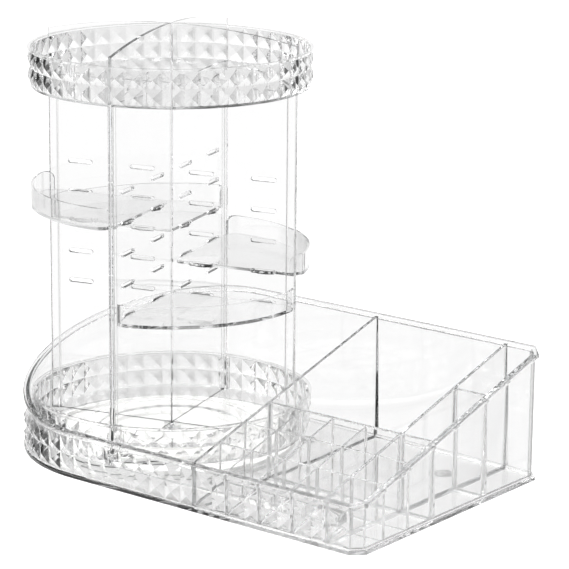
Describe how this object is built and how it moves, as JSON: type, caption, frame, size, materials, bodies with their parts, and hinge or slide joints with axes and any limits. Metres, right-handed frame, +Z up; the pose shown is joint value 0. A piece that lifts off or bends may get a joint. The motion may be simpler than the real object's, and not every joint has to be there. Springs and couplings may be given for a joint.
{
  "type": "rotating makeup organizer",
  "caption": "Clear cosmetics organizer: a faceted two-tray tower with slotted panels and quarter shelves turns in the bay of a sloping base with open cells.",
  "frame": {"origin": "middle of the base, on the table", "axes": "+X along the front, from the tower to the compartments; +Y to the tall back wall; +Z up"},
  "size_m": [0.4114, 0.2454, 0.355],
  "materials": {
    "clear_plastic": "clear gloss",
    "white_plastic": "satin",
    "clear_rubber": "matte",
    "steel": "zinc plated"
  },
  "bodies": {
    "base": {"base_tray": "clear_plastic", "base_pads": "clear_rubber", "bay_partition": "clear_plastic", "column_divider": "clear_plastic", "grid_back_divider": "clear_plastic", "side_cell_divider": "clear_plastic", "grid_row_1": "clear_plastic", "grid_row_2": "clear_plastic", "grid_column_1": "clear_plastic", "grid_column_2": "clear_plastic", "grid_column_3": "clear_plastic", "turntable_foot": "white_plastic", "pivot_washer": "steel"},
    "cage": {"ball_cage": "white_plastic", "bearing_balls": "white_plastic"},
    "tower": {"bottom_tray": "clear_plastic", "pivot_screw": "steel", "long_panel": "clear_plastic", "cross_panel": "clear_plastic"},
    "top_tray": {"top_tray": "clear_plastic"},
    "front_shelf": {"front_shelf": "clear_plastic"},
    "right_shelf": {"right_shelf": "clear_plastic"},
    "back_shelf": {"back_shelf": "clear_plastic"},
    "left_shelf": {"left_shelf": "clear_plastic"}
  },
  "joints": [
    {"name": "turntable", "type": "hinge", "parent": "base", "child": "tower", "pos_m": [-0.08295, 0, 0.0175], "axis": [0, 0, 1], "continuous": true},
    {"name": "cage_roll", "type": "hinge", "parent": "base", "child": "cage", "pos_m": [-0.08295, 0, 0.0094], "axis": [0, 0, 1], "continuous": true},
    {"name": "top_tray_lift", "type": "slide", "parent": "tower", "child": "top_tray", "axis": [0, 0, 1], "range_m": [0, 0.08]},
    {"name": "shelf_front_pull", "type": "slide", "parent": "tower", "child": "front_shelf", "axis": [0.8718, -0.4898, 0], "range_m": [0, 0.12]},
    {"name": "shelf_right_pull", "type": "slide", "parent": "tower", "child": "right_shelf", "axis": [0.4898, 0.8718, 0], "range_m": [0, 0.12]},
    {"name": "shelf_back_pull", "type": "slide", "parent": "tower", "child": "back_shelf", "axis": [-0.8718, 0.4898, 0], "range_m": [0, 0.12]},
    {"name": "shelf_left_pull", "type": "slide", "parent": "tower", "child": "left_shelf", "axis": [-0.4898, -0.8718, 0], "range_m": [0, 0.12]}
  ],
  "couplings": [
    {"joint": "cage_roll", "follows": "turntable", "ratio": 0.5}
  ]
}
